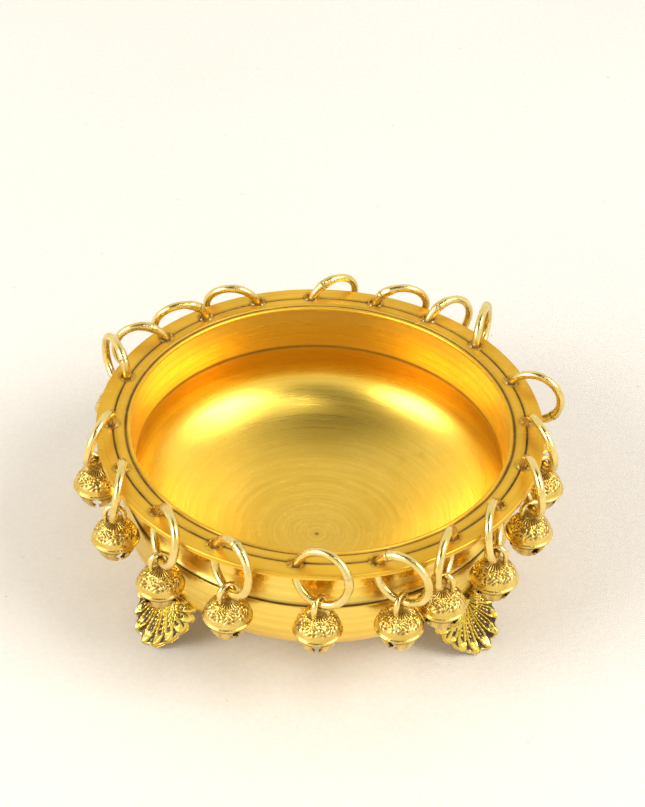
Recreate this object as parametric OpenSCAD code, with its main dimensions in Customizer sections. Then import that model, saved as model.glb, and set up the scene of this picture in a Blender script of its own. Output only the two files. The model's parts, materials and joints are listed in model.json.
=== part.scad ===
// Brass urli bowl hung with bells, in millimetres.
// The origin is on the floor under the bowl's axis, +Z is up and the front is -Y.

/* [Bowl] */
// Outer diameter of the flat rim
rim_d = 178; // [170:1:186]
// Height of the rim's top face above the floor
bowl_h = 66.5; // [64:0.5:72]
// Thickness of the rim
rim_t = 2.3; // [2:0.1:3]
// Wall thickness below the rim
wall = 2.7; // [2.2:0.1:3.2]
// Inner radius at the mouth
mouth_r = 75.2; // [74:0.1:75.5]
// Inner radius at the foot of the neck, where the wall folds outwards
fold_r = 73.6; // [73:0.1:74]
// Depth of the fold below the rim's top face
fold_drop = 18.2; // [17:0.1:19]
// Outer radius of the belly
belly_r = 79.2; // [78.5:0.1:79.5]
// Depth of the belly's shoulder below the rim's top face
shoulder_drop = 25.8; // [25:0.1:27]
// Depth at which the belly starts to curve in
curve_drop = 38.8; // [37:0.1:41]
// Gap between the bowl's underside and the floor
floor_gap = 3.2; // [2.5:0.1:4]
// Squareness of the belly's outer curve, 2 being an ellipse
belly_square = 2.3; // [2:0.1:2.8]
// Squareness of the bowl's inner curve
inner_square = 2; // [1.9:0.05:2.2]
// Depth at which the inside starts to curve in
inner_drop = 29.5; // [26:0.5:31]

/* [Rim grooves and holes] */
// Radius of the outer groove, which the ring holes follow
outer_groove_r = 82.1; // [81.5:0.1:82.5]
// Radius of the inner groove
inner_groove_r = 77.3; // [77:0.1:78]
// Depth of the outer groove
groove_deep = 0.5; // [0.3:0.1:0.8]
// Radius of the circle of ring holes
hole_circle_r = 82.7; // [82.4:0.1:83]
// Diameter of a ring hole
hole_d = 5.4; // [5.2:0.1:5.8]
// Direction of each ring hole, marked out by hand round the rim
hole_angle = [265, 286, 308, 326, 344, 3, 21, 40, 58, 75, 94, 110, 127, 142, 163, 184, 203, 223, 243];

/* [Rings] */
// Diameter of the ring wire
ring_wire = 3.3; // [3:0.1:3.4]
// Radius of the ring's wire centre
ring_r = 11; // [10.8:0.1:11.2]
// Turn of each ring about its hole, from pointing straight out; the sign is its side
ring_turn = [70, 46, -54, -68, -58, -68, -42, 34, -26, -70, -64, 70, 70, 44, -44, 66, 66, 70, 65];
// How far each ring's free side droops
ring_droop = [12, 17, 0, 18, 4, 16, 18, -1, 20, 5, 18, 12, 2, 18, -4, -2, 11, 18, 14];
// Radius of the solder lump that closes a ring
solder_r = 2.3; // [2:0.1:2.5]

/* [Bells] */
// Largest diameter, over the raised edge
bell_d = 19.2; // [18:0.1:19.4]
// Height of the dome above the raised edge
dome_h = 8.3; // [7.8:0.1:8.6]
// Radius of the dome where it meets the raised edge
dome_r = 9; // [8.8:0.1:9.2]
// Outer radius of the lower cup
cup_r = 7.9; // [7.6:0.1:8.1]
// Depth of the lower cup
cup_h = 8.2; // [8:0.1:8.8]
// Thickness of the bell metal
bell_wall = 0.8; // [0.6:0.1:0.9]
// Width of a sound slot
slot_w = 3.4; // [3:0.1:3.6]
// Turn of each bell's slots from its eye
slot_turn = [25, 8, 58, 50, 4, 30, 10, 40, 70, 15, 55, 35, 80, 20, 60, 23, 25, 29, 79];
// Depth below the raised edge at which the slots start
slot_top = 3.4; // [3:0.1:4]
// Thickness of the hanging eye
eye_wire = 2; // [1.8:0.1:2.1]
// Half the eye's width, to the centre of its wire
eye_half = 3.75; // [3.6:0.05:4]
// Gap between the ring wire and the top of the dome
dome_gap = 2.75; // [1.75:0.05:3]
// Diameter of the loose pellet
pellet_d = 6; // [5.4:0.1:6.2]

/* [Feet] */
// Angle between the two front feet
feet_spread = 95; // [85:1:100]
// Height of a foot
foot_h = 23; // [20:0.5:24]
// How far a foot leans round its own middle
foot_roll = 8; // [0:1:10]
// Number of veins on a leaf foot
vein_n = 7; // [3:2:9]

/* [Hidden] */
$fn = 96;
ring_n = len(hole_angle);
cut = 0.01;                             // overlap that keeps a cut clean
rim_r = rim_d / 2;
hinge_z = bowl_h - rim_t / 2;           // the holes' mid height, where the rings pivot
metal_gap = 0.3;                        // clearance between loose pieces
stand_off_r = belly_r + bell_d / 2 + 1; // a bell's axis stays this far from the bowl's
eye_top = ring_wire / 2 + metal_gap + eye_wire / 2; // eye wire centre above the ring wire
hang = ring_wire / 2 + dome_gap + dome_h; // ring wire centre above the bell's raised edge
dome_ball = (dome_r * dome_r + dome_h * dome_h) / (2 * dome_h); // radius of the dome's sphere
dome_sink = dome_ball - dome_h;         // its centre's depth below the raised edge
edge_t = 0.7;                           // half thickness of the raised edge
cup_sink = 1.3;                         // depth of the cup's sphere centre
leg_sink = 2;                           // how far the eye's legs go down into the dome
curve_steps = 20;                       // points along the belly's curve

brass = [0.80, 0.60, 0.24];
pale_brass = [0.87, 0.73, 0.42];
aged_brass = [0.64, 0.47, 0.20];
steel = [0.45, 0.43, 0.40];

// ---- Where each ring and bell hangs ----

function turn_y(a, v) = [v.x * cos(a) + v.z * sin(a), v.y, v.z * cos(a) - v.x * sin(a)];
function turn_z(a, v) = [v.x * cos(a) - v.y * sin(a), v.x * sin(a) + v.y * cos(a), v.z];

// Lean about the rim's tangent that keeps a bell clear of the belly
function reach(i) = ring_r * cos(ring_droop[i]) * cos(ring_turn[i]);
function side(i) = ring_r * cos(ring_droop[i]) * sin(ring_turn[i]);
function depth(i) = ring_r * (1 + sin(ring_droop[i]));
function wanted(i) = sqrt(pow(stand_off_r, 2) - pow(side(i), 2)) - hole_circle_r;
function lean(i) = wanted(i) <= reach(i) ? 0
    : atan2(depth(i), reach(i)) - acos(wanted(i) / norm([reach(i), depth(i)]));

function to_world(i, v) = turn_z(hole_angle[i], turn_y(-lean(i), turn_z(ring_turn[i], v)));
function hole_at(i) = turn_z(hole_angle[i], [hole_circle_r, 0, 0]) + [0, 0, hinge_z];
function ring_centre(i) = hole_at(i) + to_world(i, turn_y(ring_droop[i], [ring_r, 0, 0]));
function ring_normal(i) = to_world(i, [0, 1, 0]);
function downhill(n) = [n.z * n.x, n.z * n.y, n.z * n.z - 1] / norm([n.x, n.y]);
function ring_low(i) = ring_centre(i) + ring_r * downhill(ring_normal(i));
function bell_turn(i) = atan2(ring_normal(i).y, ring_normal(i).x);

module at_bell(i) {
    translate(ring_low(i) - [0, 0, hang]) rotate(bell_turn(i)) children();
}

// ---- Bowl ----

// Quarter curve of the belly, from its widest point down to the middle
function belly_curve(r, deep, start_z, square) = [
    for (k = [0:curve_steps])
        let (a = 90 * k / curve_steps)
        [r * pow(cos(a), 2 / square), start_z - deep * pow(sin(a), 2 / square)]
];

neck_r = fold_r + wall;
bulge_top = bowl_h - shoulder_drop;
curve_z = bowl_h - curve_drop;
belly_deep = curve_z - floor_gap;
hollow_r = belly_r - wall - 0.5;
hollow_top = bowl_h - inner_drop;

module belly_outline() {
    polygon(concat(
        [[0, bulge_top], [belly_r - 0.6, bulge_top], [belly_r, bulge_top - 0.8]],
        belly_curve(belly_r, belly_deep, curve_z, belly_square)
    ));
}

module bowl_outline() {
    polygon([
        [0, bowl_h], [rim_r - 0.5, bowl_h], [rim_r, bowl_h - 0.5],
        [rim_r, bowl_h - rim_t + 0.3], [rim_r - 0.3, bowl_h - rim_t],
        [neck_r + 3, bowl_h - rim_t], [neck_r + 1, bowl_h - rim_t - 0.9],
        [neck_r, bowl_h - rim_t - 3], [neck_r, bulge_top + 2.2],
        [belly_r - 1.8, bulge_top + 0.5], [belly_r - 0.9, bulge_top - 0.3], [0, bulge_top - 0.3]
    ]);
    belly_outline();
}

module bowl_hollow_outline() {
    polygon([
        [0, bowl_h + cut], [mouth_r + 0.4, bowl_h + cut], [mouth_r, bowl_h - 0.6],
        [fold_r, bowl_h - fold_drop], [fold_r + 0.5, bowl_h - fold_drop - 1],
        [hollow_r - 0.8, hollow_top + 5], [hollow_r, hollow_top], [0, hollow_top]
    ]);
    translate([0, cut]) polygon(concat(
        [[0, hollow_top]],
        belly_curve(hollow_r, hollow_top - floor_gap - wall, hollow_top, inner_square)
    ));
}

module groove(r, half_w, deep) {
    polygon([[r - half_w, bowl_h + cut], [r, bowl_h - deep], [r + half_w, bowl_h + cut]]);
}

module bowl() {
    color(brass) difference() {
        rotate_extrude() difference() {
            bowl_outline();
            bowl_hollow_outline();
            groove(outer_groove_r, 0.5, groove_deep);
            groove(inner_groove_r, 0.7, groove_deep + 0.2);
        }
        for (a = hole_angle)
            rotate(a) translate([hole_circle_r, 0, bowl_h - rim_t - 1])
                cylinder(d = hole_d, h = rim_t + 2);
    }
}

// ---- Feet ----

foot_r = belly_r + 1.2;                 // radius at which the leaf's face starts
toe_r = rim_r - 0.6;                    // radius of the toe's tip
vein_z = foot_h + 4;                    // height at which the veins would meet
face_r = (pow(toe_r - foot_r, 2) + pow(vein_z + 1, 2)) / (2 * (toe_r - foot_r)); // dished face
vein_gap = 11;                          // angle between veins
vein_w = 1.3;                           // width of a groove between two veins

// The lobed edge of the leaf, seen from outside the bowl
module leaf_outline() {
    translate([0, foot_h - 5]) circle(r = 5);
    for (s = [-1, 1]) {
        translate([s * 6.5, foot_h - 8.5]) circle(r = 5.2);
        translate([s * 10, foot_h - 13]) circle(r = 5.4);
        translate([s * 6.5, 5.5]) circle(r = 6.4);
        translate([s * 12.5, 6.5]) circle(r = 3.6);
    }
    translate([-9, -3]) square([18, foot_h - 4]);
}

// The cast block behind the leaf, cut away under the bowl
module foot_block() {
    rotate([90, 0, 0]) linear_extrude(50, center = true) polygon([
        [toe_r, 0], [toe_r, foot_h + 2], [70, foot_h + 2], [66, 10], [toe_r - 12, 6.5],
        [toe_r - 7, 2.5], [toe_r - 5, 0]
    ]);
}

module foot() {
    difference() {
        intersection() {
            foot_block();
            translate([60, 0, foot_h / 2]) rotate([foot_roll, 0, 0]) translate([0, 0, -foot_h / 2])
                rotate([90, 0, 90]) linear_extrude(40) leaf_outline();
        }
        translate([foot_r + face_r, 0, vein_z]) sphere(r = face_r);
        for (k = [1 - vein_n:2:vein_n - 1])
            translate([foot_r + face_r, 0, vein_z]) rotate([k * vein_gap / 2 + foot_roll, 0, 0])
                rotate([90, 0, 0]) rotate([0, 0, 189]) rotate_extrude(angle = 40)
                    translate([face_r, 0]) circle(d = vein_w);
        rotate_extrude() belly_outline();
    }
}

module feet() {
    color(aged_brass)
        for (a = [-90 - feet_spread / 2, -90 + feet_spread / 2, 90 - feet_spread / 2, 90 + feet_spread / 2])
            rotate(a) foot();
}

// ---- Rings ----

module ring(i) {
    color(pale_brass)
        translate(hole_at(i)) rotate(hole_angle[i]) rotate([0, -lean(i), 0])
        rotate(ring_turn[i]) rotate([0, ring_droop[i], 0]) translate([ring_r, 0, 0]) {
            rotate([90, 0, 0]) rotate_extrude() translate([ring_r, 0]) circle(d = ring_wire);
            for (k = [0, 1])
                rotate([0, 42 + 12 * sin(i * 137) + k * 13, 0]) translate([-ring_r, 0, 0])
                    sphere(r = solder_r - 0.25 * k);
        }
}

// ---- Bells ----

module eye() {
    arch_z = hang + eye_top - eye_half;
    translate([0, 0, arch_z]) rotate([90, 0, 0])
        rotate_extrude(angle = 180) translate([eye_half, 0]) circle(d = eye_wire);
    for (s = [-1, 1])
        translate([s * eye_half, 0, dome_h - leg_sink]) cylinder(d = eye_wire, h = arch_z - dome_h + leg_sink);
}

// The bell without its slots, made smaller by the wall for the hollow
module bell_body(inset) {
    intersection() {
        translate([0, 0, -dome_sink]) sphere(r = dome_ball - inset);
        cylinder(r = bell_d, h = bell_d);
    }
    intersection() {
        translate([0, 0, -cup_sink]) sphere(r = cup_r - inset);
        translate([0, 0, -cup_h + inset]) cylinder(r = bell_d, h = cup_h - inset - cup_sink + cut);
    }
    translate([0, 0, -cup_sink]) cylinder(r = cup_r - inset, h = cup_sink + cut);
}

module bell_edge() {
    rotate_extrude() {
        translate([bell_d / 2 - edge_t, 0]) circle(r = edge_t);
        translate([cup_r - 0.4, -edge_t]) square([bell_d / 2 - edge_t - cup_r + 0.4, 2 * edge_t]);
    }
}

module bell(i) {
    color(aged_brass) at_bell(i) {
        difference() {
            union() {
                bell_body(0);
                bell_edge();
                eye();
            }
            bell_body(bell_wall);
            for (a = [0, 90])
                rotate(a + slot_turn[i]) translate([-bell_d / 2, -slot_w / 2, -cup_h - 1])
                    cube([bell_d, slot_w, cup_h + 1 - slot_top]);
        }
    }
}

// The loose pellet rests on the bottom of its bell
module pellet(i) {
    color(steel) at_bell(i)
        translate([0, 0, -cup_h + bell_wall + pellet_d / 2 + metal_gap]) sphere(d = pellet_d);
}

bowl();
feet();
for (i = [0:ring_n - 1]) {
    ring(i);
    bell(i);
    pellet(i);
}
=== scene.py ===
"""A brass urli bowl: bells on wire rings hang round its flat rim, and four cast leaf feet carry it.

Every piece is built in the CAD frame, in metres, and placed from the joints that the frame gives.
"""

import json
import math

import bpy
import numpy as np
from mathutils import Matrix, Vector


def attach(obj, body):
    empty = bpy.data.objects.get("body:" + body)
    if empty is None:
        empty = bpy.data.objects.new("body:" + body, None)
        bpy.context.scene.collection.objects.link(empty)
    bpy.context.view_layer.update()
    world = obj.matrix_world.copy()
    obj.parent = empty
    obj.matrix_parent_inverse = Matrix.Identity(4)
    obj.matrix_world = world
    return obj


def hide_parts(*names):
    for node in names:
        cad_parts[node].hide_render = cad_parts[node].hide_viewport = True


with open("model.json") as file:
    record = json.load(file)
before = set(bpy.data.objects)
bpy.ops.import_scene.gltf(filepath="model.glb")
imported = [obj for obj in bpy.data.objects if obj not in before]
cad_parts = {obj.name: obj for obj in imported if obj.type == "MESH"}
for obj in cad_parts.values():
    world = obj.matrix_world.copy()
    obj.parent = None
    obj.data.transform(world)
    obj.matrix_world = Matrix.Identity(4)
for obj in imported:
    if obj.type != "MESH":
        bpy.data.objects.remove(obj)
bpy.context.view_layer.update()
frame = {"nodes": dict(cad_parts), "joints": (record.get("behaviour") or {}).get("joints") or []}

MM = 0.001
TAU = 2 * math.pi

# Sizes of the object, in metres
RIM_R = 89 * MM
RING_R = 11 * MM
WIRE_R = 1.65 * MM
HOLE_R = 2.7 * MM
BELL_DROP = 12.7 * MM  # from the ring's wire centre down to the bell's raised edge
EYE_HALF = 3.75 * MM  # half the width of the bell's eye
EYE_TOP = 2.95 * MM  # from the ring's wire centre up to the eye's own wire centre

# Turn of each bell's sound slots from its eye, in degrees
SLOT_TURN = (25, 8, 58, 50, 4, 30, 10, 40, 70, 15, 55, 35, 80, 20, 60, 23, 25, 29, 79)

JOINTS = {j["name"]: j for j in frame["joints"]}
RING_N = sum(name.startswith("ring_") for name in JOINTS)


# ---------------------------------------------------------------- mesh helpers


def add_mesh(name, verts, faces, material, patina_and_shade=None, smooth=True):
    """A mesh object from points and faces, with one darkness value per point for its oxide and its painted
    shade.
    """
    mesh = bpy.data.meshes.new(name)
    mesh.from_pydata([tuple(v) for v in verts], [], faces)
    mesh.update()
    if patina_and_shade is not None:
        layer = mesh.attributes.new("patina_and_shade", "FLOAT", "POINT")
        layer.data.foreach_set("value", np.asarray(patina_and_shade, np.float32))
    if smooth:
        mesh.shade_smooth()
    mesh.materials.append(material)
    obj = bpy.data.objects.new(name, mesh)
    bpy.context.scene.collection.objects.link(obj)
    return obj


def grid_faces(n, m, wrap_n, wrap_m, start=0):
    """Quads of an n by m grid of points, joined end to end where asked."""
    faces = []
    for i in range(n if wrap_n else n - 1):
        for j in range(m if wrap_m else m - 1):
            a, b = i * m + j, ((i + 1) % n) * m + j
            c, d = ((i + 1) % n) * m + (j + 1) % m, i * m + (j + 1) % m
            faces.append((start + a, start + b, start + c, start + d))
    return faces


def smoothstep(low, high, x):
    """Eases from 0 at low to 1 at high."""
    t = np.clip((np.asarray(x, float) - low) / (high - low), 0, 1)
    return t * t * (3 - 2 * t)


def bump_at(x, centre, width):
    """A bell curve of height 1 round a centre."""
    return np.exp(-(((np.asarray(x, float) - centre) / width) ** 2))


def waves(a, seed, count=5, low=1, high=9):
    """A smooth random curve round a closed angle, about -1 to 1."""
    rng = np.random.default_rng(seed)
    total = np.zeros_like(np.asarray(a, float))
    for k in range(count):
        order = rng.integers(low, high + 1)
        total += rng.uniform(0.4, 1) * np.sin(order * a + rng.uniform(0, TAU)) / count * 2
    return total


def cut_with(obj, cutters):
    """Cuts each cutter out of obj and removes the cutters."""
    for cutter in cutters:
        mod = obj.modifiers.new("cut", "BOOLEAN")
        mod.operation = "DIFFERENCE"
        mod.solver = "EXACT"
        mod.object = cutter
        bpy.context.view_layer.objects.active = obj
        bpy.context.view_layer.update()
        dg = bpy.context.evaluated_depsgraph_get()
        cut_mesh = bpy.data.meshes.new_from_object(obj.evaluated_get(dg))
        obj.modifiers.clear()
        obj.data = cut_mesh
        bpy.data.objects.remove(cutter)


def join(name, objs):
    """Joins objects into the first and names it."""
    with bpy.context.temp_override(
        active_object=objs[0], selected_editable_objects=objs, object=objs[0], selected_objects=objs
    ):
        bpy.ops.object.join()
    objs[0].name = name
    return objs[0]


# ---------------------------------------------------------------- materials


class Nodes:
    """Small helper that adds shader nodes and links them."""

    def __init__(self, name):
        self.material = bpy.data.materials.new(name)
        self.material.use_nodes = True
        self.tree = self.material.node_tree
        self.tree.nodes.clear()

    def add(self, kind, inputs=None, **props):
        node = self.tree.nodes.new("ShaderNode" + kind)
        for key, value in props.items():
            setattr(node, key, value)
        for key, value in (inputs or {}).items():
            self.feed(node.inputs[key], value)
        return node

    def feed(self, socket, value):
        """Links a socket to another node's output, or sets it to a constant."""
        if isinstance(value, bpy.types.NodeSocket):
            self.tree.links.new(value, socket)
        else:
            socket.default_value = value

    def math(self, operation, a, b=0.0, c=None, clamp=False):
        inputs = {0: a, 1: b}
        if c is not None:
            inputs[2] = c
        return self.add("Math", inputs, operation=operation, use_clamp=clamp).outputs[0]

    def mix(self, factor, a, b, blend="MIX"):
        node = self.add("Mix", data_type="RGBA", blend_type=blend)
        for key, value in ((0, factor), (6, a), (7, b)):
            self.feed(node.inputs[key], value)
        return node.outputs[2]

    def remap(self, value, low, high, to_low=0.0, to_high=1.0):
        inputs = {"Value": value, "From Min": low, "From Max": high}
        inputs.update({"To Min": to_low, "To Max": to_high})
        return self.add("MapRange", inputs, clamp=True).outputs[0]

    def noise(self, vector, scale, detail=4.0, rough=0.55):
        inputs = {"Vector": vector, "Scale": scale, "Detail": detail, "Roughness": rough}
        return self.add("TexNoise", inputs).outputs["Fac"]

    def tarnish_and_crevice_shade(self, reach, clear, full, broken):
        """How dark a point is: the mesh's darkness value for oxide and painted shade, or, where darker, a
        painted shade in its crevices taken from ambient occlusion, broken up by a noise.
        """
        patina_and_shade_value = self.add("Attribute", attribute_name="patina_and_shade").outputs["Fac"]
        # Painted shade: ambient occlusion darkens the colour in crevices and between parts.
        crevice_shade = self.add("AmbientOcclusion", {"Distance": reach}, samples=6).outputs["AO"]
        dark = self.math("MAXIMUM", patina_and_shade_value, self.remap(crevice_shade, clear, full))
        return self.math("MULTIPLY", dark, broken, clamp=True)

    def finish(self, **inputs):
        """A Principled shader with these inputs as the material's surface."""
        shader = self.add("BsdfPrincipled", {k.replace("_", " "): v for k, v in inputs.items()})
        self.add("OutputMaterial", {"Surface": shader.outputs[0]})
        return self.material


def rgba(r, g, b):
    return (r, g, b, 1.0)


def lathe_vector(n):
    """Coordinates that run with the turning marks, and how much the surface faces outwards."""
    where = n.add("TexCoord").outputs["Object"]
    parts = n.add("SeparateXYZ", {0: where})
    x, y, z = parts.outputs
    radius = n.math("SQRT", n.math("ADD", n.math("MULTIPLY", x, x), n.math("MULTIPLY", y, y)))
    angle = n.math("ARCTAN2", y, x)
    around = n.math("MULTIPLY", n.math("SINE", n.math("MULTIPLY", angle, 3.0)), 0.0006)
    along = n.add("CombineXYZ", {0: radius, 1: z, 2: around}).outputs[0]
    level = n.add("CombineXYZ", {0: x, 1: y, 2: 0.0}).outputs[0]
    normal = n.add("NewGeometry").outputs["Normal"]
    facing = n.add("VectorMath", {0: level, 1: normal}, operation="DOT_PRODUCT").outputs["Value"]
    outside = n.remap(facing, -0.004, 0.004)
    return where, radius, z, along, outside


def scratches(n, where, angle, seed):
    """Thin straight scratches that run one way: a noise drawn out along its own length."""
    turned = n.add("Mapping", {
        "Vector": where,
        "Rotation": (0, 0, math.radians(angle)),
        "Scale": (60, 2600, 60),
        "Location": (seed, seed, seed),
    }).outputs[0]
    lines = n.noise(turned, 1.0, 2.0, 0.4)
    return n.remap(lines, 0.66, 0.78)


def turned_brass():
    """Bowl: lathe-turned brass, tan and satin on the rim, with a painted pale reflection outside and above
    the inner fold, dark in the grooves with oxide and painted shade.
    """
    n = Nodes("turned_brass")
    where, radius, z, along, outside = lathe_vector(n)
    fine = n.noise(along, 4200.0, 3.0, 0.7)
    wide = n.noise(along, 700.0, 4.0, 0.6)
    cloud = n.noise(where, 22.0, 5.0, 0.6)
    stain = n.noise(where, 95.0, 6.0, 0.65)
    rim = n.math("MULTIPLY", n.remap(z, 0.0640, 0.0652), n.remap(radius, 0.0750, 0.0754))
    gold = n.mix(n.remap(cloud, 0.3, 0.7), rgba(0.80, 0.515, 0.058), rgba(0.90, 0.62, 0.105))
    tan = n.mix(n.remap(cloud, 0.3, 0.7), rgba(0.72, 0.40, 0.025), rgba(0.93, 0.56, 0.055))
    # Painted reflection: the outside and every surface above the inner fold, except the rim's top face,
    # are mixed toward a pale gold that stands in for the bright room they reflect.
    neck = n.math("MULTIPLY", n.remap(z, 0.0475, 0.0490), n.math("SUBTRACT", 1.0, rim))
    pale = n.math("MAXIMUM", n.math("MULTIPLY", neck, 0.75), n.math("MULTIPLY", outside, 0.75))
    gold = n.mix(pale, gold, rgba(0.98, 0.72, 0.165))
    colour = n.mix(rim, gold, tan)
    colour = n.mix(n.remap(wide, 0.42, 0.72, 0.0, 0.30), colour, rgba(0.54, 0.31, 0.030))
    colour = n.mix(n.remap(stain, 0.60, 0.80, 0.0, 0.30), colour, rgba(0.42, 0.21, 0.02))
    # Patina and painted shade: the mesh's dark values and the crevice shade from ambient occlusion turn
    # the colour near black.
    dark = n.tarnish_and_crevice_shade(0.0012, 0.75, 0.25, n.remap(stain, 0.25, 0.6, 0.75, 1.0))
    colour = n.mix(dark, colour, rgba(0.070, 0.030, 0.008))
    marks = n.math("MAXIMUM", scratches(n, where, 35, 1.0), scratches(n, where, -58, 4.0))
    marks = n.math("MULTIPLY", marks, n.math("ADD", 0.25, n.math("MULTIPLY", rim, 0.75)))
    colour = n.mix(n.math("MULTIPLY", marks, 0.45), colour, rgba(0.98, 0.78, 0.33))
    rough = n.remap(wide, 0.3, 0.7, 0.25, 0.34)
    rough = n.math("ADD", rough, n.math("MULTIPLY", rim, 0.10))
    shiny = n.math("MULTIPLY", n.math("MULTIPLY", outside, neck), 0.13)
    rough = n.math("SUBTRACT", rough, shiny)
    rough = n.math("ADD", rough, n.remap(fine, 0.3, 0.7, -0.03, 0.05))
    rough = n.math("ADD", rough, n.math("MULTIPLY", dark, 0.3), clamp=True)
    height = n.math("ADD", n.math("MULTIPLY", fine, 0.60), n.math("MULTIPLY", wide, 0.40))
    height = n.math("SUBTRACT", height, n.math("MULTIPLY", marks, 0.5))
    bump = n.add("Bump", {"Strength": 0.35, "Distance": 0.00006, "Height": height})
    tangent = n.add("Tangent", direction_type="RADIAL", axis="Z").outputs[0]
    return n.finish(
        Base_Color=colour,
        Metallic=n.math("SUBTRACT", 1.0, n.math("MULTIPLY", dark, 0.55)),
        Roughness=rough,
        Anisotropic=0.2,
        Tangent=tangent,
        Normal=bump.outputs[0],
    )


def worked_brass(name, light, deep, patina_and_shade_colour, rough, grain, grain_bump, reach):
    """Rings, bells and feet: a tone that varies at random, dark with oxide in the recesses and with
    painted shade in the crevices.
    """
    n = Nodes(name)
    where = n.add("TexCoord").outputs["Object"]
    tone = n.noise(where, grain * 0.25, 4.0, 0.6)
    small = n.noise(where, grain, 5.0, 0.65)
    colour = n.mix(n.remap(tone, 0.3, 0.7), deep, light)
    # Patina in the recesses and painted shade in the crevices darken the colour toward the dark colour
    # given.
    dark = n.tarnish_and_crevice_shade(reach, 0.62, 0.12, n.remap(small, 0.25, 0.55, 0.65, 1.0))
    colour = n.mix(dark, colour, patina_and_shade_colour)
    value = n.remap(small, 0.3, 0.7, rough - 0.06, rough + 0.10)
    value = n.math("ADD", value, n.math("MULTIPLY", dark, 0.25), clamp=True)
    bump = n.add("Bump", {"Strength": 0.5, "Distance": grain_bump, "Height": small})
    return n.finish(
        Base_Color=colour,
        Metallic=n.math("SUBTRACT", 1.0, n.math("MULTIPLY", dark, 0.5)),
        Roughness=value,
        Normal=bump.outputs[0],
    )


def dull_steel():
    """Pellets: dark mottled steel."""
    n = Nodes("dull_steel")
    where = n.add("TexCoord").outputs["Object"]
    mottle = n.noise(where, 900.0, 5.0, 0.6)
    colour = n.mix(n.remap(mottle, 0.3, 0.7), rgba(0.05, 0.04, 0.035), rgba(0.17, 0.14, 0.11))
    bump = n.add("Bump", {"Strength": 0.4, "Distance": 0.0001, "Height": mottle})
    return n.finish(Base_Color=colour, Metallic=0.8, Roughness=0.5, Normal=bump.outputs[0])


def canvas():
    """The table's pale cotton cloth: a fine weave with a few darker flecks."""
    thread_pitch = 0.00125
    n = Nodes("canvas")
    where = n.add("TexCoord").outputs["Object"]
    parts = n.add("SeparateXYZ", {0: where})
    wander = n.noise(where, 60.0, 2.0, 0.5)
    threads = []
    for k in (0, 1):
        shifted = n.math("ADD", parts.outputs[k], n.math("MULTIPLY", wander, 0.002))
        threads.append(n.math("SINE", n.math("MULTIPLY", shifted, TAU / thread_pitch)))
    weave = n.math("MULTIPLY", threads[0], threads[1])
    slub = n.noise(where, 420.0, 3.0, 0.6)
    fleck = n.noise(where, 260.0, 2.0, 0.5)
    tone = n.noise(where, 3.0, 2.0, 0.5)
    colour = n.mix(n.remap(tone, 0.35, 0.65), rgba(0.785, 0.740, 0.675), rgba(0.815, 0.778, 0.715))
    shade = n.math("ADD", n.math("MULTIPLY", weave, 0.12), n.remap(slub, 0.3, 0.7, -0.05, 0.05))
    colour = n.mix(n.remap(shade, -0.15, 0.15, 0.62, 0.0), colour, rgba(0.62, 0.545, 0.475))
    colour = n.mix(n.remap(fleck, 0.72, 0.80, 0.0, 0.5), colour, rgba(0.42, 0.30, 0.20))
    height = n.math("ADD", n.math("MULTIPLY", weave, 0.5), slub)
    bump = n.add("Bump", {"Strength": 0.6, "Distance": 0.00020, "Height": height})
    return n.finish(Base_Color=colour, Roughness=0.92, Sheen_Weight=0.15, Normal=bump.outputs[0])


BOWL_BRASS = turned_brass()
RING_BRASS = worked_brass(
    "ring_brass", rgba(0.88, 0.71, 0.30), rgba(0.74, 0.55, 0.15), rgba(0.20, 0.09, 0.015),
    0.20, 500.0, 0.00001, 0.0010,
)
BELL_BRASS = worked_brass(
    "bell_brass", rgba(0.88, 0.66, 0.20), rgba(0.66, 0.43, 0.07), rgba(0.15, 0.065, 0.008),
    0.24, 700.0, 0.000015, 0.0011,
)
CAST_BRASS = worked_brass(
    "cast_brass", rgba(0.92, 0.72, 0.16), rgba(0.70, 0.47, 0.05), rgba(0.030, 0.013, 0.020),
    0.16, 900.0, 0.00003, 0.0014,
)
STEEL = dull_steel()


# ---------------------------------------------------------------- bowl


def arc(centre, radius, start, end, steps):
    """Points along a circle from one angle to another, in degrees."""
    a = np.radians(np.linspace(start, end, steps))
    return [(centre[0] + radius * math.cos(t), centre[1] + radius * math.sin(t)) for t in a]


def belly_curve(radius, depth, top, steps=90, square=2.3):
    """Quarter of a squarish oval, from the widest point down to the axis."""
    a = np.radians(np.linspace(0, 90, steps))
    return [
        (radius * math.cos(t) ** (2 / square) if t < math.pi / 2 else 0.0,
         top - depth * math.sin(t) ** (2 / square))
        for t in a
    ]


def spread(points, step):
    """Adds points along straight stretches so that none is longer than step."""
    out = [points[0]]
    for a, b in zip(points, points[1:]):
        count = max(1, math.ceil(math.dist(a, b) / step))
        out += [(a[0] + (b[0] - a[0]) * k / count, a[1] + (b[1] - a[1]) * k / count)
                for k in range(1, count + 1)]
    return out


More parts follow.
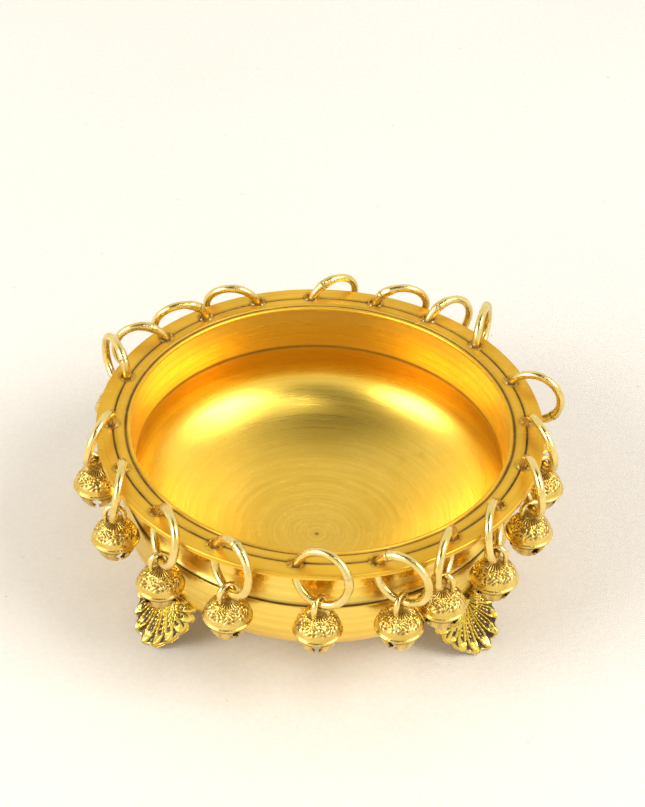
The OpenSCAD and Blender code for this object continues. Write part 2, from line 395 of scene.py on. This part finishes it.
def bowl_profile():
    """The bowl's section in millimetres as (radius, height), from inside centre to outside centre."""
    top, thick = 66.5, 2.3
    inner = belly_curve(76.0, 31.1, 37.0, square=2)[::-1]
    inner += [(75.75, 39.6), (75.35, 42.0), (74.75, 44.8), (74.25, 46.8), (73.95, 47.6)]
    inner += [(73.68, 48.2), (73.66, 48.8), (73.85, 50.5), (74.4, 57.0), (75.0, 63.6)]
    inner += [(75.12, 65.2), (75.2, 65.8), (75.4, 66.2), (75.7, 66.42), (76.05, 66.5)]
    rim = [(76.35, 66.42), (76.65, 66.2), (76.85, 65.85), (77.15, 65.72), (77.5, 65.8)]
    rim += [(77.8, 66.2), (78.1, 66.45), (78.5, top), (81.4, top), (81.65, 66.42)]
    rim += [(81.9, 66.05), (82.1, 65.95), (82.3, 66.05), (82.55, 66.42), (82.8, top)]
    rim += [(88.3, top)] + arc((88.35, 65.85), 0.65, 85, 5, 7)
    rim += [(RIM_R / MM, 65.0)] + arc((88.55, 64.65), 0.45, -5, -85, 6)
    outside = [(88.2, top - thick), (79.6, 64.15), (78.2, 63.9), (77.2, 63.3), (76.6, 62.2)]
    outside += [(76.35, 60.8), (76.3, 58.0), (76.3, 46.0), (76.5, 44.2), (76.9, 43.0)]
    outside += [(77.4, 42.0), (78.0, 41.25), (78.25, 41.1), (78.3, 40.55), (78.55, 40.45), (78.85, 40.6)]
    outside += [(79.05, 40.35), (79.15, 39.8), (79.2, 38.6)]
    outside += belly_curve(79.2, 24.5, 27.7)
    return spread(inner + rim + outside, 1.2)


def groove_patina_and_shade(r, z):
    """Dark wax and tarnishing in the turned grooves and the shoulder line, and a centre dot; painted shade
    under the inner fold and on the neck just under the rim.
    """
    on_top = smoothstep(65.0, 65.6, z)
    value = on_top * (bump_at(r, 82.1, 0.45) + bump_at(r, 77.2, 0.5) * 0.95)
    value += on_top * (bump_at(r, 82.1, 1.1) + bump_at(r, 77.9, 0.9) + bump_at(r, 88.9, 0.6)) * 0.20
    # Painted shade: a dark band just under the inner fold, where the fold hides the wall below it.
    value += bump_at(r, 74.2, 1.2) * bump_at(z, 46.8, 1.1) * 0.80
    value += bump_at(r, 78.3, 0.5) * bump_at(z, 40.7, 0.6) * 1.2
    # Painted shade: the outside of the neck darkens under the rim, standing in for the rim's shadow and
    # the dark underside it reflects.
    value += bump_at(r, 77.0, 1.6) * (bump_at(z, 63.4, 1.2) * 0.5 + bump_at(z, 60.5, 3.2) * 0.70)
    value += bump_at(r, 0.0, 0.9) * smoothstep(4.5, 5.5, z) * 0.9
    return value


def hole_patina(verts):
    """Tarnish left round each ring hole, on the rim's top face."""
    value = np.zeros(verts.shape[:-1])
    for k in range(1, RING_N + 1):
        hole = JOINTS[f"ring_{k}_swing"]["pos_m"]
        gap = np.hypot(verts[..., 0] - hole[0] / MM, verts[..., 1] - hole[1] / MM) - HOLE_R / MM
        value += 0.9 * np.exp(-((gap / 0.8) ** 2)) * (verts[..., 2] > 60)
    return value


def hole_cutters():
    """One upright round bar through each ring hole in the rim."""
    steps, half_tall = 48, 3 * MM
    b = np.linspace(0, TAU, steps, endpoint=False)
    sides = [(i, (i + 1) % steps, steps + (i + 1) % steps, steps + i) for i in range(steps)]
    caps = [tuple(reversed(range(steps))), tuple(range(steps, 2 * steps))]
    cutters = []
    for k in range(1, RING_N + 1):
        hole = Vector(JOINTS[f"ring_{k}_swing"]["pos_m"])
        across = [(hole.x + HOLE_R * math.cos(t), hole.y + HOLE_R * math.sin(t)) for t in b]
        low = [(x, y, hole.z - half_tall) for x, y in across]
        high = [(x, y, hole.z + half_tall) for x, y in across]
        cutters.append(add_mesh(f"hole_{k}", low + high, sides + caps, BOWL_BRASS, smooth=False))
    return cutters


def make_bowl():
    """The bowl, turned from its section, with the ring holes cut through its rim."""
    profile = bowl_profile()
    turns = 480
    a = np.linspace(0, TAU, turns, endpoint=False)
    r = np.array([p[0] for p in profile])
    z = np.array([p[1] for p in profile])
    patina_and_shade = groove_patina_and_shade(r, z)
    count = len(profile)
    verts = np.empty((turns, count, 3))
    verts[..., 0] = r * np.cos(a)[:, None]
    verts[..., 1] = r * np.sin(a)[:, None]
    verts[..., 2] = z
    shade = np.clip(patina_and_shade[None] + hole_patina(verts), 0, 1)[:, 1:-1].reshape(-1)
    flat = verts[:, 1:-1].reshape(-1, 3)
    m = count - 2
    faces = grid_faces(turns, m, True, False)
    inner_pole, outer_pole = len(flat), len(flat) + 1
    for i in range(turns):
        j = (i + 1) % turns
        faces.append((inner_pole, j * m, i * m))
        faces.append((outer_pole, i * m + m - 1, j * m + m - 1))
    verts = np.vstack([flat, [[0, 0, z[0]], [0, 0, z[-1]]]]) * MM
    shade = np.concatenate([shade, [1, 0]])
    faces = [tuple(reversed(f)) for f in faces]
    bowl = add_mesh("bowl_shell", verts, faces, BOWL_BRASS, shade)
    cut_with(bowl, [join("holes", hole_cutters())])
    bowl.data.shade_smooth()
    bowl.data.set_sharp_from_angle(angle=math.radians(38))
    bowl.modifiers.new("even", "WEIGHTED_NORMAL").keep_sharp = True
    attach(bowl, "bowl_body")
    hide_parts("bowl")
    return bowl


# ---------------------------------------------------------------- rings

# Where each ring's solder lump lies, in degrees along the wire from its hole, and its size
LUMPS = {1: (150, 0.5), 2: (38, 1.0), 3: (30, 1.1), 7: (200, 0.9), 8: (120, 0.9), 9: (40, 0.9),
         10: (42, 1.1), 11: (46, 0.9), 12: (60, 0.3), 13: (50, 1.0), 14: (48, 0.9), 15: (44, 1.0),
         17: (40, 1.0), 18: (52, 0.8), 19: (84, 1.1)}


def ring_axes(k):
    """Low point, centre, direction to the hole, direction of the wire there, and the plane's normal."""
    hole = Vector(JOINTS[f"ring_{k}_swing"]["pos_m"])
    low = Vector(JOINTS[f"bell_{k}_swing"]["pos_m"])
    along = Vector(JOINTS[f"bell_{k}_swing"]["axis"]).normalized()
    normal = along.cross(low - hole).normalized()
    up = normal.cross(along)
    if up.z < 0:
        up = -up
    centre = low + up * RING_R
    to_hole = (hole - centre).normalized()
    wire = normal.cross(to_hole)
    if wire.z < 0:
        wire = -wire
    return low, centre, to_hole, wire, to_hole.cross(wire)


def make_ring(k):
    """Ring k: a bent wire that swells at its solder lump."""
    _, centre, to_hole, rise, normal = ring_axes(k)
    n, m = 200, 30
    a = np.linspace(0, TAU, n, endpoint=False)[:, None]
    b = np.linspace(0, TAU, m, endpoint=False)[None, :]
    lump_at, lump_size = LUMPS.get(k, (45, 0.35))
    lump_at = math.radians(lump_at)
    away = np.angle(np.exp(1j * (a - lump_at)))
    rough = waves(a * 3 + b * 2, 50 + k) * 0.5 + waves(a * 7 - b * 3, 80 + k) * 0.5
    wire = WIRE_R * (1 + 0.018 * waves(a, 20 + k) + 0.004 * rough)
    swell = np.exp(-((away / 0.20) ** 2)) + 0.6 * np.exp(-(((away - 0.34) / 0.15) ** 2))
    swell = swell * (1 + 0.35 * rough) * 0.55 * MM * lump_size
    seam = np.exp(-((away / 0.028) ** 2)) * 0.25 * MM * lump_size
    wire = wire + swell * (0.8 + 0.2 * np.cos(b - k)) - seam
    line = RING_R - 0.10 * MM + 0.05 * MM * waves(a, 140 + k, high=4)
    spoke = np.array(to_hole)[None, None] * np.cos(a)[..., None]
    spoke = spoke + np.array(rise)[None, None] * np.sin(a)[..., None]
    verts = np.array(centre) + spoke * (line + wire * np.cos(b))[..., None]
    verts = verts + np.array(normal)[None, None] * (wire * np.sin(b))[..., None]
    patina_and_shade = np.clip(0.55 * swell / (0.5 * MM) * (rough < -0.2) + seam / (0.25 * MM) * 0.7, 0, 1)
    near_hole = np.exp(-((np.angle(np.exp(1j * a)) / 0.22) ** 2)) * 0.35
    patina_and_shade = np.clip(patina_and_shade + near_hole, 0, 1)
    ring = add_mesh(f"ring_wire_{k}", verts.reshape(-1, 3), grid_faces(n, m, True, True),
                    RING_BRASS, patina_and_shade.reshape(-1))
    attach(ring, f"ring_{k}_body")
    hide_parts(f"ring_{k}")
    return ring


# ---------------------------------------------------------------- bells


# The bell's castings, in millimetres from the middle of the raised edge
DOME_R = 9.0
DOME_BALL = 9.03  # radius of the ball that the dome is the top of
DOME_SINK = 0.73  # how far that ball's middle lies below the raised edge
CUP_R = 7.9
CUP_DEEP = 9.2  # depth that the cup's oval would reach without its flat bottom
CUP_SINK = 1.3
CUP_H = 9.3
CUP_WALL = 0.8

# The sound slots: a narrow cut with a round upper end, in millimetres
SLOT_HALF = 0.8
SLOT_ROUND_R = 2.0
SLOT_ROUND_Z = -3.9

# Place on the bell's section: 0 to 1 from the eye to the raised edge, then these
EDGE, CUP_TOP, BOTTOM, INSIDE = -1, -2, -4, -5


def lace(theta, s):
    """Wavy rows of cast lace round the lower dome, about -1 to 1."""
    rows = np.cos(s * 33 + 1.4 * np.cos(theta * 10))
    return rows * np.cos(theta * 17 + 1.8 * np.sin(s * 22))


def pebbles(theta, s, seed):
    """Irregular cast lumps over the lower dome, each at its own place, size and height."""
    rng = np.random.default_rng(300 + seed)
    total = np.zeros(np.broadcast(theta, s).shape)
    for _ in range(75):
        at, down = rng.uniform(0, TAU), rng.uniform(0.50, 0.95)
        size, tall = rng.uniform(0.45, 0.85), rng.uniform(0.12, 0.34)
        around = np.angle(np.exp(1j * (theta - at))) * down * DOME_R
        total += tall * np.exp(-((around / size) ** 2 + ((s - down) * DOME_R * 1.25 / size) ** 2))
    return np.clip(total, 0, 0.5)


def bell_relief(theta, s, seed):
    """Height of the casting on the dome, from the eye (s=0) to the raised edge (s=1)."""
    flutes = np.cos(theta * 24) * smoothstep(0.14, 0.26, s) * smoothstep(0.54, 0.44, s)
    band = smoothstep(0.48, 0.56, s) * smoothstep(0.97, 0.91, s)
    lumps = pebbles(theta, s, seed) * smoothstep(1.0, 0.94, s)
    line = np.exp(-(((s - 0.50) / 0.022) ** 2)) + np.exp(-(((s - 0.94) / 0.018) ** 2))
    return 0.20 * flutes + 0.22 * lace(theta, s) * band + 0.50 * lumps + 0.12 * line


def bell_section():
    """Outer then inner section of a bell in millimetres: radius, height, and place on the section."""
    rows = []
    for s in np.linspace(0.004, 1, 66):
        r = 8.86 * s
        rows.append((r, math.sqrt(DOME_BALL**2 - r**2) - DOME_SINK, s))
    rows += [(x, y, EDGE) for x, y in arc((8.98, 0.0), 0.58, 80, -70, 12)]
    rows += [(8.35, -0.66, EDGE), (8.02, -0.86, EDGE), (7.92, -1.1, EDGE)]
    for t in np.linspace(0, 1, 26):
        down = 0.05 + t * (CUP_H - CUP_SINK - 0.25)
        rows.append((CUP_R * math.sqrt(1 - (down / CUP_DEEP) ** 2), -CUP_SINK - down, CUP_TOP - t))
    rows += [(3.7, -9.20, BOTTOM), (3.2, -CUP_H, BOTTOM), (2.8, -CUP_H, BOTTOM), (2.5, -8.8, BOTTOM)]
    for down in np.linspace(7.3, 0, 14):
        r = (CUP_R - CUP_WALL) * math.sqrt(1 - (down / (CUP_DEEP - CUP_WALL)) ** 2)
        rows.append((r, -CUP_SINK - down, INSIDE))
    for r in np.linspace(7.4, 0.05, 20):
        rows.append((r, math.sqrt(8.2**2 - r**2) - DOME_SINK, INSIDE))
    return rows


def bell_body(seed):
    """A bell without its slots and eye, with its casting pattern turned by the seed."""
    rows = bell_section()
    turns = 300
    theta = np.linspace(0, TAU, turns, endpoint=False)[:, None]
    r = np.array([p[0] for p in rows])[None]
    z = np.array([p[1] for p in rows])[None]
    s = np.array([p[2] for p in rows])[None]
    on_dome = s >= 0
    relief = np.where(on_dome, bell_relief(theta + seed, np.clip(s, 0, 1), seed), 0)
    on_cup = (s <= -2) & (s >= -3)
    cup = np.where(on_cup, -(s + 2), 0)
    petals = np.cos(theta * 12 + 0.4) * smoothstep(0.05, 0.3, cup) * smoothstep(1.0, 0.7, cup)
    relief = relief + np.where(on_cup, 0.07 * petals, 0)
    blur = waves(theta * 5 + s * 9, 7 + seed) * 0.02
    outer = s > -4.5
    nr = np.where(on_dome, r / DOME_BALL, np.where(on_cup, r / CUP_R, 1))
    nz = np.where(on_dome, (z + DOME_SINK) / DOME_BALL, np.where(on_cup, (z + CUP_SINK) / CUP_R, 0))
    push = np.where(outer, relief + blur, 0)
    rr, zz = r + nr * push, z + nz * push
    verts = np.stack([rr * np.cos(theta), rr * np.sin(theta), zz + 0 * theta], -1)
    near_eye = smoothstep(0.02, -0.10, relief) * smoothstep(0.60, 0.45, s) * 0.9
    pits = smoothstep(0.05, -0.06, relief) * smoothstep(0.42, 0.52, s) * smoothstep(1.0, 0.93, s) * 0.9
    top_tone = smoothstep(0.56, 0.40, s) * 0.28 + smoothstep(0.20, 0.05, s) * 0.4
    patina_and_shade = np.where(on_dome, near_eye + pits + top_tone, 0)
    patina_and_shade = patina_and_shade + np.where(on_cup, smoothstep(0.02, -0.06, relief) * 0.35, 0)
    # Painted shade under the raised edge: its underside and the top of the cup below it are darkened.
    patina_and_shade = patina_and_shade + np.where((s > -2.2) & (s < 0), smoothstep(-0.4, -0.9, z) * 0.6, 0)
    # Painted shade: the whole inside of the bell is set fully dark.
    patina_and_shade = np.clip(np.where(s < -4.5, 1.0, patina_and_shade + 0 * theta), 0, 1)
    count = len(rows)
    faces = grid_faces(turns, count, True, False)
    faces = [tuple(reversed(f)) for f in faces]
    top, under = turns * count, turns * count + 1
    for i in range(turns):
        j = (i + 1) % turns
        faces.append((top, i * count, j * count))
        faces.append((under, j * count + count - 1, i * count + count - 1))
    verts = np.vstack([verts.reshape(-1, 3), [[0, 0, 8.3], [0, 0, 7.47]]]) * MM
    # The pole on the eye gets 0.4; the inside pole gets full painted shade.
    shade = np.concatenate([patina_and_shade.reshape(-1), [0.4, 1]])
    return add_mesh(f"bell_{seed}", verts, faces, BELL_BRASS, shade)


def slot_cutters():
    """Two crossed bars, narrow with round upper ends, that cut the bell's sound slots."""
    cutters = []
    far_end = 12
    meet = math.degrees(math.asin(SLOT_HALF / SLOT_ROUND_R))
    outline = [(-SLOT_HALF, -far_end), (SLOT_HALF, -far_end)]
    outline += arc((0, SLOT_ROUND_Z), SLOT_ROUND_R, meet - 90, 270 - meet, 28)
    count = len(outline)
    for k in (0, 1):
        verts = []
        for far in (-far_end, far_end):
            for a, b in outline:
                verts.append((far * MM, a * MM, b * MM) if k else (-a * MM, far * MM, b * MM))
        sides = [(i, (i + 1) % count, count + (i + 1) % count, count + i) for i in range(count)]
        caps = [tuple(reversed(range(count))), tuple(range(count, 2 * count))]
        # Painted shade: the slot walls that these faces leave are set dark.
        dark = np.full(2 * count, 0.8)
        cutters.append(add_mesh(f"slot_{k}", verts, sides + caps, BELL_BRASS, dark, smooth=False))
    return cutters


def bell_eye(seed):
    """The cast eye: an arch of wire, stout at mid height, whose legs taper into the dome."""
    top = (BELL_DROP + EYE_TOP) / MM
    half = EYE_HALF / MM
    arch_z = top - half
    foot_z, foot_x = 6.4, 3.1
    down = np.linspace(0, 1, 14)[:-1]
    leg = [(foot_x + (half - foot_x) * math.sin(t * math.pi / 2), foot_z + (arch_z - foot_z) * t)
           for t in down]
    over = np.linspace(0, math.pi, 40)
    line = leg + [(half * math.cos(t), arch_z + half * math.sin(t)) for t in over]
    line += [(-x, z) for x, z in reversed(leg)]
    line = np.array([(x, 0.0, z) for x, z in line])
    n, m = len(line), 20
    tangent = np.gradient(line, axis=0)
    tangent /= np.linalg.norm(tangent, axis=1)[:, None]
    side = np.tile([0.0, 1.0, 0.0], (n, 1))
    inward = np.cross(side, tangent)
    t = np.linspace(-1, 1, n)
    away = np.abs(t)
    size = 0.94 + 0.30 * bump_at(away, 0.52, 0.26) - 0.28 * smoothstep(0.68, 1.0, away)
    size = size + 0.02 * waves(t * 3, 60 + seed)
    b = np.linspace(0, TAU, m, endpoint=False)
    ring = inward[:, None] * np.cos(b)[None, :, None] * 0.92
    ring = ring + side[:, None] * np.sin(b)[None, :, None] * 1.06
    verts = line[:, None] + ring * size[:, None, None]
    faces = grid_faces(n, m, False, True)
    shade = np.tile((smoothstep(0.82, 1.0, away) * 0.6)[:, None], (1, m))
    return add_mesh(f"eye_{seed}", verts.reshape(-1, 3) * MM, faces, RING_BRASS, shade.reshape(-1))


def hang_piece(name, mesh, place, turn, k):
    """One more object that shares a mesh, hung as part of bell k."""
    piece = bpy.data.objects.new(name, mesh)
    bpy.context.scene.collection.objects.link(piece)
    piece.matrix_world = Matrix.Translation(place) @ Matrix.Rotation(turn, 4, "Z")
    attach(piece, f"bell_{k}_body")
    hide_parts(f"bell_{k}")


def make_bells():
    """Three castings and three eyes, shared out between the bells and hung on their rings."""
    kinds = 3
    bodies, eyes = [], []
    for seed in range(kinds):
        body = bell_body(seed)
        cut_with(body, slot_cutters())
        body.data.shade_smooth()
        body.data.set_sharp_from_angle(angle=math.radians(50))
        bodies.append(body)
        eyes.append(bell_eye(seed))
    for k in range(1, RING_N + 1):
        low, _, _, _, normal = ring_axes(k)
        place = low - Vector((0, 0, BELL_DROP))
        turn = math.atan2(normal.y, normal.x)
        slots = turn + math.radians(SLOT_TURN[k - 1])
        hang_piece(f"bell_cast_{k}", bodies[k % kinds].data, place, slots, k)
        hang_piece(f"bell_eye_{k}", eyes[k % kinds].data, place, turn, k)
    for kind in bodies + eyes:
        bpy.data.objects.remove(kind)


def make_pellets():
    """The pellets keep their CAD meshes and get steel."""
    for k in range(1, RING_N + 1):
        pellet = frame["nodes"][f"pellet_{k}"]
        pellet.data.materials.clear()
        pellet.data.materials.append(STEEL)


# ---------------------------------------------------------------- feet

FOOT_ANGLES = (-137.5, -41.0, 42.5, 137.5)
FOOT_ROLLS = (-2, 13, 8, -2)  # degrees each leaf leans round its own middle
FOOT_TOP = 24.0  # height of the point the veins run out from, in millimetres
FOOT_MID = 12.0  # height that the leaf leans about
BELLY_FACE = 80.4  # radius of the leaf's face at its top
LOBE_PITCH = 16.0  # degrees between the leaf's lobes
LEAF_SPREAD = 112  # degrees that the leaf fans out to each side of straight down
LEAF_EDGE = 1.1  # how far the leaf's rounded edge drops back, in millimetres
FLOOR_GAP = 0.35  # lowest height of a leaf, in millimetres


def leaf_reach(psi):
    """Length of the leaf from its top centre, at an angle from straight down (radians), in millimetres."""
    deg = np.degrees(psi)
    away = np.abs(deg)
    base = 24.2 - 0.13 * (np.hypot(deg, 8) - 8) - 3.0 * smoothstep(80, 115, away)
    notch = np.abs(np.cos(np.pi * deg / LOBE_PITCH)) ** 0.6
    deep = 0.25 + 2.0 * smoothstep(24, 58, away)
    return base - deep * (1 - notch)


def leaf_face(psi, rho):
    """How far out from the bowl's axis the leaf's surface lies, in millimetres, before its relief."""
    share = rho / 24.0
    flare = 10.4 * share**2.2 * np.cos(np.clip(psi, -1.5, 1.5)) ** 0.5
    across = np.abs(rho * np.sin(psi))
    curl = 0.07 * np.clip(across - 6.0, 0, None) ** 2
    ripple = 0.5 * np.cos(TAU * np.degrees(psi) / LOBE_PITCH) * smoothstep(0.55, 0.95, share)
    return BELLY_FACE + flare - curl + ripple


def leaf_relief(psi, rho, reach):
    """Each lobe is a long raised loop with a row of beads down its middle and a rounded tip."""
    t = rho / reach
    across = (np.degrees(psi) / LOBE_PITCH + 0.5) % 1 * 2 - 1
    width = np.maximum(rho * math.radians(LOBE_PITCH) / 2, 0.8)
    loop = np.hypot(across / 0.68, np.clip(t - 0.70, 0, 1) / 0.21)
    ridge = np.exp(-(((loop - 1) * 0.68 * width / 0.42) ** 2))
    beads = 0.55 + 0.45 * np.cos(rho * TAU / 1.8)
    row = beads * np.exp(-((across * width / 0.45) ** 2))
    row = row * smoothstep(0.30, 0.42, t) * smoothstep(0.80, 0.70, t)
    uneven = 1 + 0.35 * waves(psi * 3 + rho * 0.5, 400)
    toe = np.hypot(across / 0.45, (t - 0.85) / 0.075)
    tip = smoothstep(1.3, 0.2, toe) * 0.8
    boss = smoothstep(0.20, 0.08, t) * 0.6
    rim = 0.7 * np.exp(-(((t - 0.962) / 0.024) ** 2))
    return uneven * (1.15 * ridge * smoothstep(0.06, 0.2, t) + 0.75 * row + tip) + boss + rim


def make_foot(index, angle):
    """One cast foot: a veined leaf that flares to its toe, and the lug behind it."""
    n, m = 420, 110
    psi = np.radians(np.linspace(-LEAF_SPREAD, LEAF_SPREAD, n))[:, None]
    t = np.linspace(0, 1, m)[None, :] ** 0.9
    reach = leaf_reach(psi)
    rho = reach * t
    face = leaf_face(psi, rho)
    relief = leaf_relief(psi, rho, reach)
    out = face + relief
    roll = math.radians(FOOT_ROLLS[index - 1])
    y = rho * np.sin(psi)
    z = FOOT_TOP - rho * np.cos(psi)
    yy = y * math.cos(roll) - (z - FOOT_MID) * math.sin(roll)
    zz = FOOT_MID + y * math.sin(roll) + (z - FOOT_MID) * math.cos(roll)
    zz = np.maximum(zz, FLOOR_GAP)
    edge = smoothstep(1.0, 0.93, t)
    out = out - (1 - edge) * LEAF_EDGE
    thick = 1.6 + 2.2 * smoothstep(0.9, 0.3, t)
    back = face - thick * edge - LEAF_EDGE * (1 - edge)
    front_points = np.stack([out, yy, zz], -1).reshape(-1, 3)
    back_points = np.stack([back, yy, zz], -1).reshape(-1, 3)
    faces = grid_faces(n, m, False, False)
    faces += [tuple(reversed(f)) for f in grid_faces(n, m, False, False, n * m)]
    half = n * m
    for i in range(n - 1):
        a, b = i * m + m - 1, (i + 1) * m + m - 1
        faces.append((a, a + half, b + half, b))
    for j in range(m - 1):
        for row, flip in ((0, False), (n - 1, True)):
            a, b = row * m + j, row * m + j + 1
            quad = (a, b, b + half, a + half)
            faces.append(tuple(reversed(quad)) if flip else quad)
    shade = smoothstep(0.62, 0.22, relief) * smoothstep(1.0, 0.94, t) * smoothstep(0.02, 0.12, t)
    shade = np.concatenate([np.broadcast_to(shade, (n, m)).reshape(-1), np.full(n * m, 0.35)])
    verts = np.vstack([front_points, back_points]) * MM
    leaf = add_mesh(f"leaf_{index}", verts, faces, CAST_BRASS, shade)
    lug = make_lug(index)
    foot = join(f"foot_{index}", [leaf, lug])
    foot.data.transform(Matrix.Rotation(math.radians(angle), 4, "Z"))
    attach(foot, "bowl_body")
    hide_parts("feet")
    return foot


def make_lug(index):
    """The cast arm behind a leaf: it runs in under the belly and carries it."""
    # Radius, lowest height, highest height and half width of each section
    stations = [
        (82.5, 1.4, 5.5, 5.0),
        (80.5, 1.6, 10.0, 6.6),
        (79.0, 2.2, 16.0, 7.4),
        (77.0, 4.2, 19.0, 7.6),
        (74.5, 6.8, 19.0, 7.2),
        (70.5, 8.8, 16.6, 6.4),
        (67.0, 10.2, 14.0, 5.4),
    ]
    m = 40
    b = np.linspace(0, TAU, m, endpoint=False)
    rows = []
    for x, low, high, half in stations:
        middle, tall = (low + high) / 2, (high - low) / 2
        y = half * np.sign(np.cos(b)) * np.abs(np.cos(b)) ** 0.7
        z = middle + tall * np.sign(np.sin(b)) * np.abs(np.sin(b)) ** 0.7
        rows.append(np.stack([np.full(m, x), y, z], -1))
    verts = np.array(rows).reshape(-1, 3)
    n = len(stations)
    faces = grid_faces(n, m, False, True)
    faces += [tuple(reversed(range(m))), tuple(range((n - 1) * m, n * m))]
    lug = add_mesh(f"lug_{index}", verts * MM, faces, CAST_BRASS, np.full(n * m, 0.25))
    mod = lug.modifiers.new("round", "SUBSURF")
    mod.levels = mod.render_levels = 2
    dg = bpy.context.evaluated_depsgraph_get()
    lug.data = bpy.data.meshes.new_from_object(lug.evaluated_get(dg))
    lug.modifiers.clear()
    return lug


# ---------------------------------------------------------------- studio


def soft_box(name, target, direction, distance, size, power, colour=(1, 1, 1)):
    """A soft rectangular light that faces a point from a direction (azimuth, height), in degrees."""
    az, el = map(math.radians, direction)
    away = Vector((math.cos(az) * math.cos(el), math.sin(az) * math.cos(el), math.sin(el)))
    data = bpy.data.lights.new(name, "AREA")
    data.shape = "RECTANGLE"
    data.size, data.size_y = size
    data.energy = power
    data.color = colour
    light = bpy.data.objects.new(name, data)
    light.location = Vector(target) + away * distance
    light.rotation_euler = away.to_track_quat("Z", "Y").to_euler()
    bpy.context.scene.collection.objects.link(light)
    return light


def make_world():
    """An even pale room, with a dimmer patch of ceiling on the front side between the two soft boxes."""
    world = bpy.data.worlds.new("studio")
    bpy.context.scene.world = world
    world.use_nodes = True
    tree = world.node_tree
    azimuth, height = map(math.radians, (266, 70))
    dim = (math.cos(azimuth) * math.cos(height), math.sin(azimuth) * math.cos(height), math.sin(height))
    coords = tree.nodes.new("ShaderNodeTexCoord")
    near = tree.nodes.new("ShaderNodeVectorMath")
    near.operation = "DOT_PRODUCT"
    near.inputs[1].default_value = dim
    ramp = tree.nodes.new("ShaderNodeMapRange")
    ramp.interpolation_type = "SMOOTHSTEP"
    for socket, value in (("From Min", 0.72), ("From Max", 0.96), ("To Min", 1.0), ("To Max", 0.12)):
        ramp.inputs[socket].default_value = value
    background = tree.nodes["Background"]
    background.inputs["Color"].default_value = rgba(1.0, 0.985, 0.950)
    tree.links.new(coords.outputs["Generated"], near.inputs[0])
    tree.links.new(near.outputs["Value"], ramp.inputs["Value"])
    tree.links.new(ramp.outputs[0], background.inputs["Strength"])


def make_studio():
    """The cloth-covered table, the pale room and the soft boxes."""
    corners = [(-6, -3, 0), (6, -3, 0), (6, 9, 0), (-6, 9, 0)]
    floor = add_mesh("floor", corners, [(0, 1, 2, 3)], canvas(), smooth=False)
    make_world()
    middle = (0, 0, 0.04)
    soft_white = (1.0, 0.99, 0.96)
    soft_box("left_box", middle, (209, 30), 2.2, (1.15, 1.15), 36, soft_white)
    soft_box("right_box", middle, (340, 44), 2.2, (1.15, 1.15), 34, soft_white)
    soft_box("streak_light", middle, (294, 68), 2.0, (0.06, 0.4), 1.6)


def make_camera():
    """A long lens that looks down at about 40 degrees, as the photograph does."""
    roll_degrees = 1.99
    data = bpy.data.cameras.new("camera")
    data.sensor_width = 36
    data.lens = 98.0
    data.clip_end = 50
    camera = bpy.data.objects.new("camera", data)
    place = Vector((0, -0.6718, 0.6234))
    aim = Vector((0.00056, 0.04373, 0.040))
    look = (aim - place).normalized()
    camera.location = place
    turn = (-look).to_track_quat("Z", "Y").to_matrix().to_4x4()
    roll = Matrix.Rotation(math.radians(roll_degrees), 4, "Z")
    camera.rotation_euler = (turn @ roll).to_euler()
    bpy.context.scene.collection.objects.link(camera)
    bpy.context.scene.camera = camera


make_bowl()
for number in range(1, RING_N + 1):
    make_ring(number)
make_bells()
make_pellets()
for number, foot_angle in enumerate(FOOT_ANGLES, 1):
    make_foot(number, foot_angle)
make_studio()
make_camera()
bpy.context.scene.view_settings.view_transform = "Standard"
